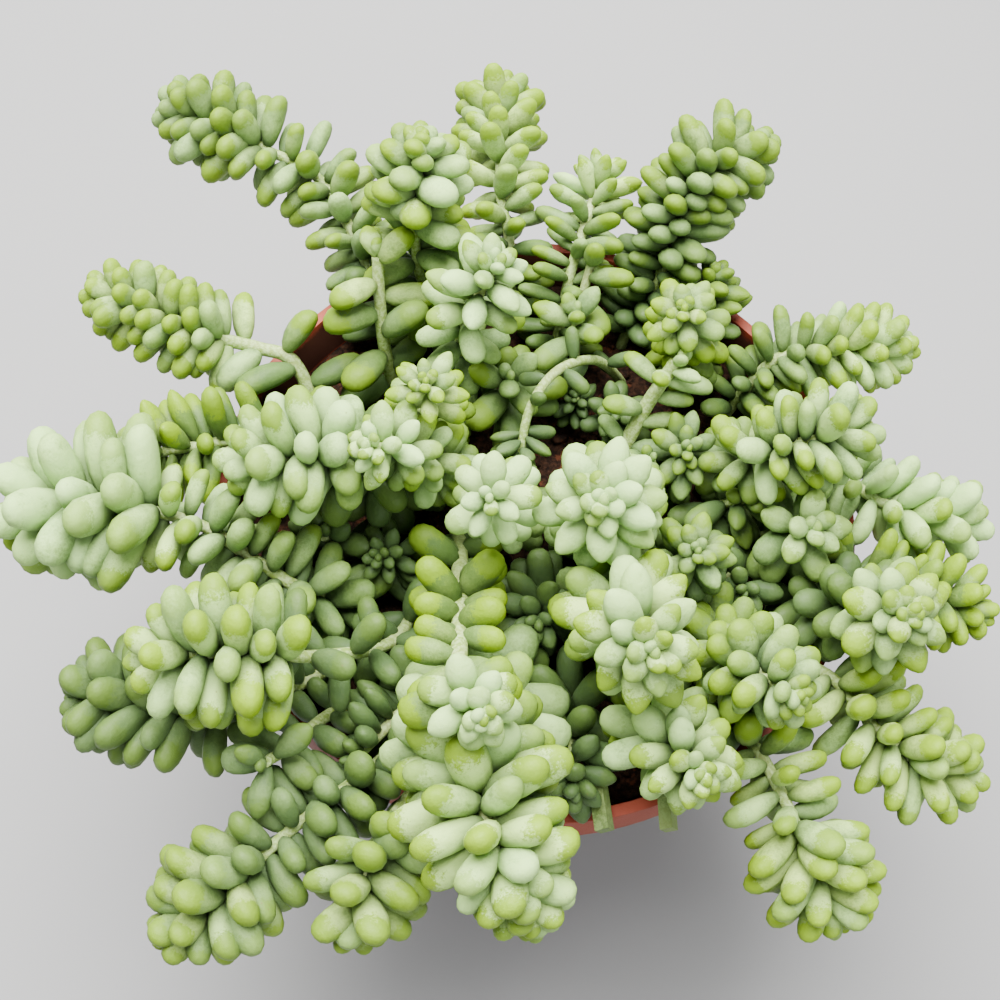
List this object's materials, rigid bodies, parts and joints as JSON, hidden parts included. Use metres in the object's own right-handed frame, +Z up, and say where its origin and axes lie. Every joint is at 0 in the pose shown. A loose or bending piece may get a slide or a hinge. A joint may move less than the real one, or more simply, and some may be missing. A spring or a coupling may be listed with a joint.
{
  "type": "potted burro's tail plant",
  "caption": "Trailing succulent with plump overlapping leaves on radiating tails and rosettes, growing in a round tapered nursery pot.",
  "frame": {"origin": "middle of the pot's foot, on the surface that the pot stands on", "axes": "+Z up, -Y towards the near side that the picture was taken from, +X to the right in the picture"},
  "size_m": [0.1746, 0.1857, 0.1417],
  "materials": {
    "pot_plastic": "terracotta-coloured moulded plastic, semi-matte",
    "potting_soil": "moist peat and coir crumbs, fully matte",
    "bark": "dry bark chip, matte",
    "stem_and_leaf": "waxy glaucous bloom over pale green succulent leaf, yellow-green tips"
  },
  "bodies": {
    "root": {"pot": "pot_plastic", "soil": "potting_soil", "wood_chip": "bark", "tail_front": "stem_and_leaf", "tail_left": "stem_and_leaf", "tail_left_front": "stem_and_leaf", "tail_left_under": "stem_and_leaf", "rosette_spiral": "stem_and_leaf", "rosette_front": "stem_and_leaf", "rosette_front_right": "stem_and_leaf", "stem_long_middle": "stem_and_leaf", "tail_left_inner": "stem_and_leaf", "rosette_left_inner": "stem_and_leaf", "rosette_pale": "stem_and_leaf", "rosette_blue": "stem_and_leaf", "head_back_left": "stem_and_leaf", "stem_back_left": "stem_and_leaf", "tail_back_left": "stem_and_leaf", "tail_left_back": "stem_and_leaf", "tail_back": "stem_and_leaf", "tail_back_right": "stem_and_leaf", "bunch_back_right": "stem_and_leaf", "stem_back_middle": "stem_and_leaf", "rosette_back_right": "stem_and_leaf", "stem_sparse": "stem_and_leaf", "tail_right_back": "stem_and_leaf", "tail_right": "stem_and_leaf", "cluster_right": "stem_and_leaf", "stem_curved_leaves": "stem_and_leaf", "rosette_right": "stem_and_leaf", "tail_right_thick": "stem_and_leaf", "head_right": "stem_and_leaf", "tail_right_slim": "stem_and_leaf", "head_right_inner": "stem_and_leaf", "tail_right_front": "stem_and_leaf", "tail_front_right": "stem_and_leaf", "tail_front_left": "stem_and_leaf", "tail_front_left_inner": "stem_and_leaf", "sprout_front_left": "stem_and_leaf", "stem_front_dark": "stem_and_leaf", "rosette_small_right": "stem_and_leaf", "rosette_white": "stem_and_leaf", "stem_arching": "stem_and_leaf", "tail_left_yellow": "stem_and_leaf", "shoot_back": "stem_and_leaf", "shoot_back_inner": "stem_and_leaf", "shoot_left": "stem_and_leaf", "shoot_middle": "stem_and_leaf", "shoot_front": "stem_and_leaf", "shoot_front_low": "stem_and_leaf", "shoot_right": "stem_and_leaf", "shoot_blue_low": "stem_and_leaf", "shoot_back_small": "stem_and_leaf", "shoot_inner_low": "stem_and_leaf", "shoot_inner_right": "stem_and_leaf", "stub_front": "stem_and_leaf", "stub_front_right": "stem_and_leaf"}
  },
  "joints": []
}
